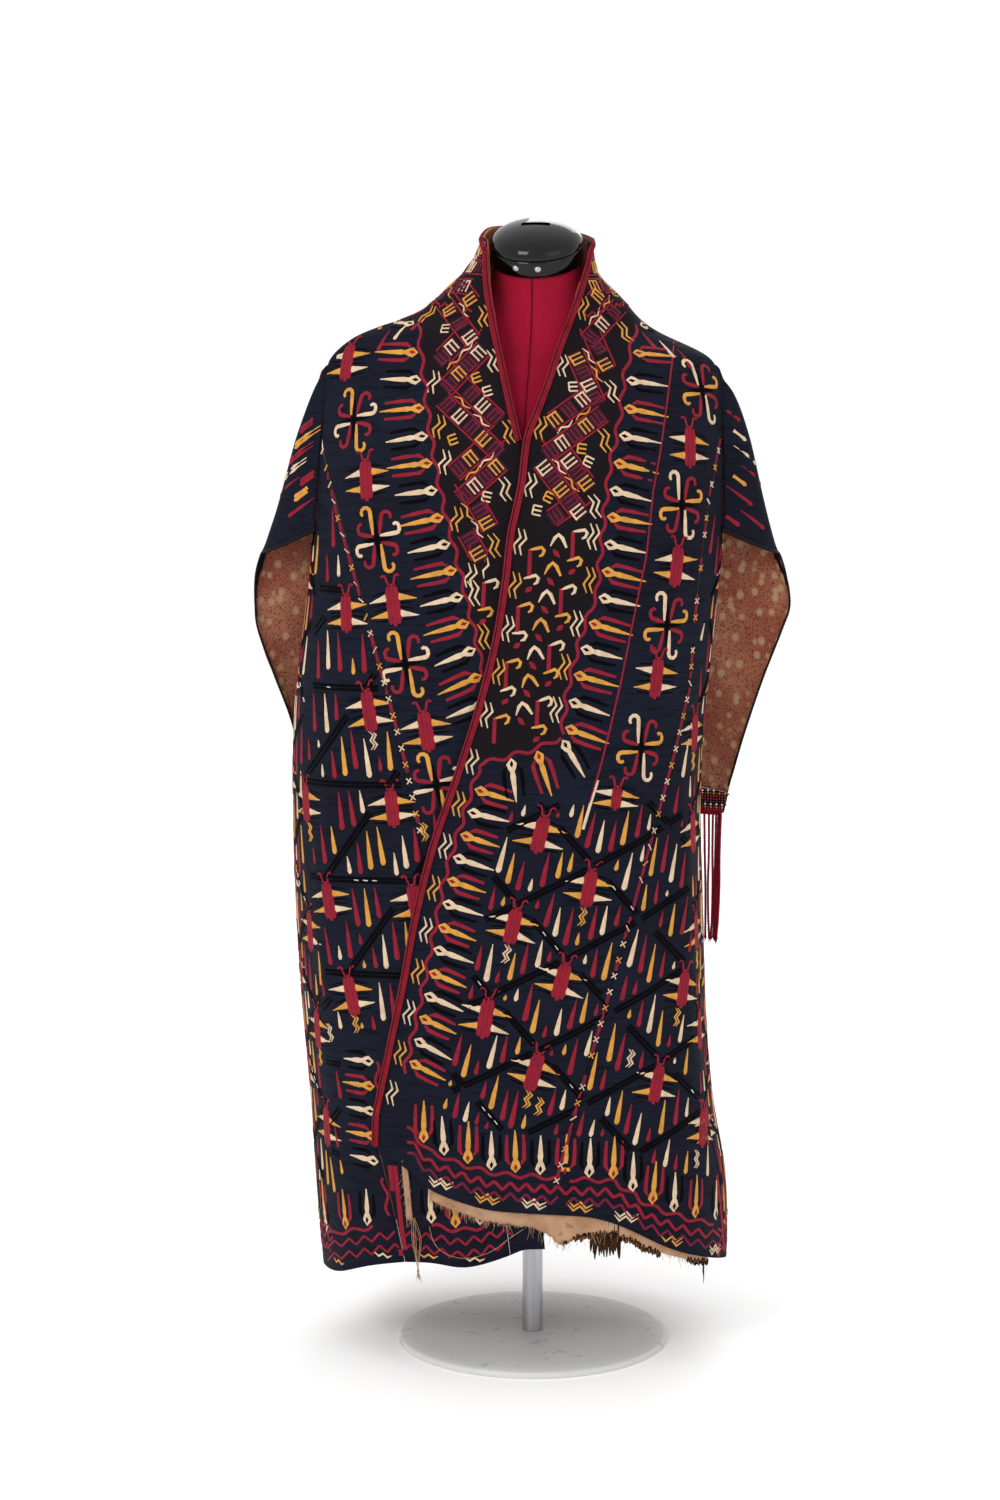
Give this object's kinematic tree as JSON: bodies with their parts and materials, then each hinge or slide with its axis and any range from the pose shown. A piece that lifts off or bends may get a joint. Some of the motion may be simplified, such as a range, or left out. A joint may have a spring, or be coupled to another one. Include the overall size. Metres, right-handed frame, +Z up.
{
  "type": "embroidered mantle on a limbless dress form",
  "caption": "Long lined mantle with crossed fronts and open hanging sleeves, worn by a limbless dress form on a round stand.",
  "frame": {"origin": "on the floor, at the middle of the stand base's underside, below the form's neck", "axes": "+Z up through the stand, -Y out of the mantle's front, +X to the wearer's left"},
  "size_m": [0.6454, 0.3963, 1.3635],
  "materials": {
    "embroidered_silk": "dark navy silk, densely embroidered in crimson, cream, gold and black silk",
    "red_braid": "narrow crimson silk braid",
    "facing_cotton": "worn tan cotton, ragged edge",
    "beadwork": "dark red band sewn with small glass beads",
    "tassel_silk": "twisted crimson silk strands",
    "red_jersey": "stretched crimson jersey over a padded form",
    "black_plastic": "moulded, glossy",
    "steel": "bright, lightly brushed",
    "base_paint": "pale grey, satin"
  },
  "bodies": {
    "root": {"back_left": "embroidered_silk", "back_right": "embroidered_silk", "front_left": "embroidered_silk", "front_right": "embroidered_silk", "gore_left": "embroidered_silk", "gore_right": "embroidered_silk", "sleeve_left": "embroidered_silk", "sleeve_right": "embroidered_silk", "braid_left": "red_braid", "braid_right": "red_braid", "hem_facing": "facing_cotton", "facing_strip": "facing_cotton", "sleeve_band_left": "beadwork", "sleeve_band_right": "beadwork", "tassel_left": "tassel_silk", "tassel_right": "tassel_silk", "form_left": "red_jersey", "form_right": "red_jersey", "neck_band": "black_plastic", "neck_cap": "black_plastic", "rivet_1": "steel", "rivet_2": "steel", "stand_base": "base_paint", "stand_pole": "steel"}
  },
  "joints": []
}
